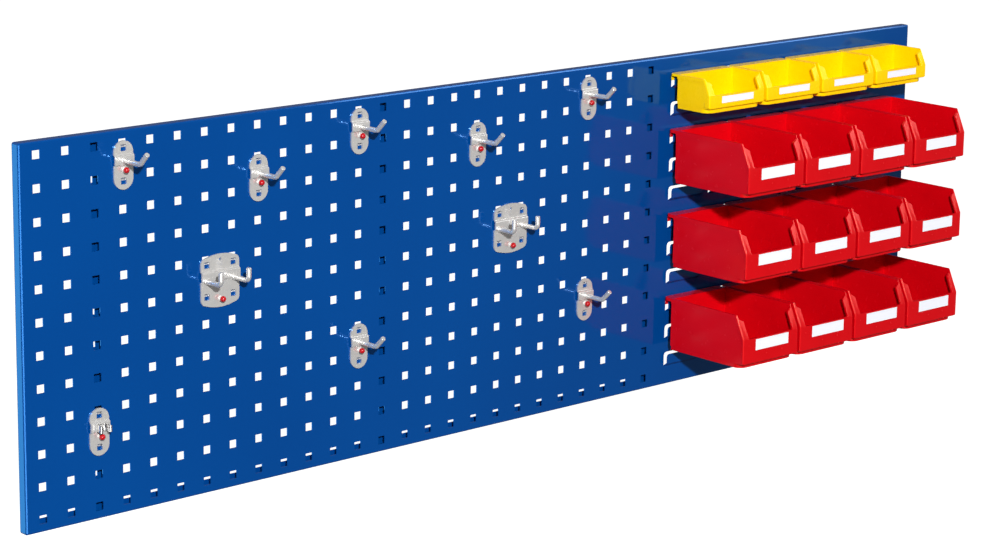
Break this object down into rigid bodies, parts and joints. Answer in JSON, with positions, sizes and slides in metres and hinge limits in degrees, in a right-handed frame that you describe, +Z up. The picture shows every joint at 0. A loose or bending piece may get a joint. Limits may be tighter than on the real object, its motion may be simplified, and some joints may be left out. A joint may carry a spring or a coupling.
{
  "type": "pegboard tool wall",
  "caption": "Wall-hung steel tool panel with a square-punched field for plug-in hooks and a louvred field carrying open-fronted storage bins.",
  "frame": {"origin": "on the wall plane, at the middle of the rear face of the panel's top return lip", "axes": "+X to the right along the panel as seen from the front, +Y into the wall, +Z up"},
  "size_m": [1.49, 0.1645, 0.448],
  "materials": {
    "blue_powder_coat": "glossy blue powder coat",
    "zinc_plate": "bright zinc plating, satin",
    "spring_steel": "bright spring steel",
    "red_plug": "moulded, smooth",
    "red_bin": "moulded polypropylene, semi-gloss",
    "yellow_bin": "moulded polypropylene, semi-gloss",
    "label_card": "plain white card, matt"
  },
  "bodies": {
    "panel_assembly": {"panel": "blue_powder_coat", "stiffener_1": "blue_powder_coat", "stiffener_2": "blue_powder_coat", "stiffener_3": "blue_powder_coat", "stiffener_4": "blue_powder_coat"},
    "single_hook_1": {"single_hook_1": "zinc_plate"},
    "single_hook_2": {"single_hook_2": "zinc_plate"},
    "single_hook_3": {"single_hook_3": "zinc_plate"},
    "single_hook_4": {"single_hook_4": "zinc_plate"},
    "single_hook_5": {"single_hook_5": "zinc_plate"},
    "single_hook_6": {"single_hook_6": "zinc_plate"},
    "single_hook_7": {"single_hook_7": "zinc_plate"},
    "double_hook_1": {"double_hook_1": "zinc_plate"},
    "double_hook_2": {"double_hook_2": "zinc_plate"},
    "tool_clip": {"tool_clip_plate": "zinc_plate", "tool_clip_spring": "spring_steel", "tool_clip_rivet": "zinc_plate"},
    "lock_plug_1": {"lock_plug_1": "red_plug"},
    "lock_plug_2": {"lock_plug_2": "red_plug"},
    "lock_plug_3": {"lock_plug_3": "red_plug"},
    "lock_plug_4": {"lock_plug_4": "red_plug"},
    "lock_plug_5": {"lock_plug_5": "red_plug"},
    "lock_plug_6": {"lock_plug_6": "red_plug"},
    "lock_plug_7": {"lock_plug_7": "red_plug"},
    "lock_plug_8": {"lock_plug_8": "red_plug"},
    "lock_plug_9": {"lock_plug_9": "red_plug"},
    "lock_plug_10": {"lock_plug_10": "red_plug"},
    "yellow_bin_1": {"yellow_bin_1": "yellow_bin", "yellow_bin_label_1": "label_card"},
    "yellow_bin_2": {"yellow_bin_2": "yellow_bin", "yellow_bin_label_2": "label_card"},
    "yellow_bin_3": {"yellow_bin_3": "yellow_bin", "yellow_bin_label_3": "label_card"},
    "yellow_bin_4": {"yellow_bin_4": "yellow_bin", "yellow_bin_label_4": "label_card"},
    "red_bin_1": {"red_bin_1": "red_bin", "red_bin_label_1": "label_card"},
    "red_bin_2": {"red_bin_2": "red_bin", "red_bin_label_2": "label_card"},
    "red_bin_3": {"red_bin_3": "red_bin", "red_bin_label_3": "label_card"},
    "red_bin_4": {"red_bin_4": "red_bin", "red_bin_label_4": "label_card"},
    "red_bin_5": {"red_bin_5": "red_bin", "red_bin_label_5": "label_card"},
    "red_bin_6": {"red_bin_6": "red_bin", "red_bin_label_6": "label_card"},
    "red_bin_7": {"red_bin_7": "red_bin", "red_bin_label_7": "label_card"},
    "red_bin_8": {"red_bin_8": "red_bin", "red_bin_label_8": "label_card"},
    "red_bin_9": {"red_bin_9": "red_bin", "red_bin_label_9": "label_card"},
    "red_bin_10": {"red_bin_10": "red_bin", "red_bin_label_10": "label_card"},
    "red_bin_11": {"red_bin_11": "red_bin", "red_bin_label_11": "label_card"},
    "red_bin_12": {"red_bin_12": "red_bin", "red_bin_label_12": "label_card"}
  },
  "joints": [
    {"name": "single_hook_1_lift", "type": "slide", "parent": "panel_assembly", "child": "single_hook_1", "axis": [0, 0, 1], "range_m": [0, 0.0042]},
    {"name": "single_hook_2_lift", "type": "slide", "parent": "panel_assembly", "child": "single_hook_2", "axis": [0, 0, 1], "range_m": [0, 0.0042]},
    {"name": "single_hook_3_lift", "type": "slide", "parent": "panel_assembly", "child": "single_hook_3", "axis": [0, 0, 1], "range_m": [0, 0.0042]},
    {"name": "single_hook_4_lift", "type": "slide", "parent": "panel_assembly", "child": "single_hook_4", "axis": [0, 0, 1], "range_m": [0, 0.0042]},
    {"name": "single_hook_5_lift", "type": "slide", "parent": "panel_assembly", "child": "single_hook_5", "axis": [0, 0, 1], "range_m": [0, 0.0042]},
    {"name": "single_hook_6_lift", "type": "slide", "parent": "panel_assembly", "child": "single_hook_6", "axis": [0, 0, 1], "range_m": [0, 0.0042]},
    {"name": "single_hook_7_lift", "type": "slide", "parent": "panel_assembly", "child": "single_hook_7", "axis": [0, 0, 1], "range_m": [0, 0.0042]},
    {"name": "double_hook_1_lift", "type": "slide", "parent": "panel_assembly", "child": "double_hook_1", "axis": [0, 0, 1], "range_m": [0, 0.0042]},
    {"name": "double_hook_2_lift", "type": "slide", "parent": "panel_assembly", "child": "double_hook_2", "axis": [0, 0, 1], "range_m": [0, 0.0042]},
    {"name": "tool_clip_lift", "type": "slide", "parent": "panel_assembly", "child": "tool_clip", "axis": [0, 0, 1], "range_m": [0, 0.0042]},
    {"name": "lock_plug_1_pull", "type": "slide", "parent": "single_hook_1", "child": "lock_plug_1", "axis": [0, -1, 0], "range_m": [0, 0.006]},
    {"name": "lock_plug_2_pull", "type": "slide", "parent": "single_hook_2", "child": "lock_plug_2", "axis": [0, -1, 0], "range_m": [0, 0.006]},
    {"name": "lock_plug_3_pull", "type": "slide", "parent": "single_hook_3", "child": "lock_plug_3", "axis": [0, -1, 0], "range_m": [0, 0.006]},
    {"name": "lock_plug_4_pull", "type": "slide", "parent": "single_hook_4", "child": "lock_plug_4", "axis": [0, -1, 0], "range_m": [0, 0.006]},
    {"name": "lock_plug_5_pull", "type": "slide", "parent": "single_hook_5", "child": "lock_plug_5", "axis": [0, -1, 0], "range_m": [0, 0.006]},
    {"name": "lock_plug_6_pull", "type": "slide", "parent": "single_hook_6", "child": "lock_plug_6", "axis": [0, -1, 0], "range_m": [0, 0.006]},
    {"name": "lock_plug_7_pull", "type": "slide", "parent": "single_hook_7", "child": "lock_plug_7", "axis": [0, -1, 0], "range_m": [0, 0.006]},
    {"name": "lock_plug_8_pull", "type": "slide", "parent": "double_hook_1", "child": "lock_plug_8", "axis": [0, -1, 0], "range_m": [0, 0.006]},
    {"name": "lock_plug_9_pull", "type": "slide", "parent": "double_hook_2", "child": "lock_plug_9", "axis": [0, -1, 0], "range_m": [0, 0.006]},
    {"name": "lock_plug_10_pull", "type": "slide", "parent": "tool_clip", "child": "lock_plug_10", "axis": [0, -1, 0], "range_m": [0, 0.006]},
    {"name": "yellow_bin_1_lift_off", "type": "slide", "parent": "panel_assembly", "child": "yellow_bin_1", "axis": [0, 0, 1], "range_m": [0, 0.0075]},
    {"name": "yellow_bin_2_lift_off", "type": "slide", "parent": "panel_assembly", "child": "yellow_bin_2", "axis": [0, 0, 1], "range_m": [0, 0.0075]},
    {"name": "yellow_bin_3_lift_off", "type": "slide", "parent": "panel_assembly", "child": "yellow_bin_3", "axis": [0, 0, 1], "range_m": [0, 0.0075]},
    {"name": "yellow_bin_4_lift_off", "type": "slide", "parent": "panel_assembly", "child": "yellow_bin_4", "axis": [0, 0, 1], "range_m": [0, 0.0075]},
    {"name": "red_bin_1_lift_off", "type": "slide", "parent": "panel_assembly", "child": "red_bin_1", "axis": [0, 0, 1], "range_m": [0, 0.0075]},
    {"name": "red_bin_2_lift_off", "type": "slide", "parent": "panel_assembly", "child": "red_bin_2", "axis": [0, 0, 1], "range_m": [0, 0.0075]},
    {"name": "red_bin_3_lift_off", "type": "slide", "parent": "panel_assembly", "child": "red_bin_3", "axis": [0, 0, 1], "range_m": [0, 0.0075]},
    {"name": "red_bin_4_lift_off", "type": "slide", "parent": "panel_assembly", "child": "red_bin_4", "axis": [0, 0, 1], "range_m": [0, 0.0075]},
    {"name": "red_bin_5_lift_off", "type": "slide", "parent": "panel_assembly", "child": "red_bin_5", "axis": [0, 0, 1], "range_m": [0, 0.0075]},
    {"name": "red_bin_6_lift_off", "type": "slide", "parent": "panel_assembly", "child": "red_bin_6", "axis": [0, 0, 1], "range_m": [0, 0.0075]},
    {"name": "red_bin_7_lift_off", "type": "slide", "parent": "panel_assembly", "child": "red_bin_7", "axis": [0, 0, 1], "range_m": [0, 0.0075]},
    {"name": "red_bin_8_lift_off", "type": "slide", "parent": "panel_assembly", "child": "red_bin_8", "axis": [0, 0, 1], "range_m": [0, 0.0075]},
    {"name": "red_bin_9_lift_off", "type": "slide", "parent": "panel_assembly", "child": "red_bin_9", "axis": [0, 0, 1], "range_m": [0, 0.0075]},
    {"name": "red_bin_10_lift_off", "type": "slide", "parent": "panel_assembly", "child": "red_bin_10", "axis": [0, 0, 1], "range_m": [0, 0.0075]},
    {"name": "red_bin_11_lift_off", "type": "slide", "parent": "panel_assembly", "child": "red_bin_11", "axis": [0, 0, 1], "range_m": [0, 0.0075]},
    {"name": "red_bin_12_lift_off", "type": "slide", "parent": "panel_assembly", "child": "red_bin_12", "axis": [0, 0, 1], "range_m": [0, 0.0075]}
  ]
}
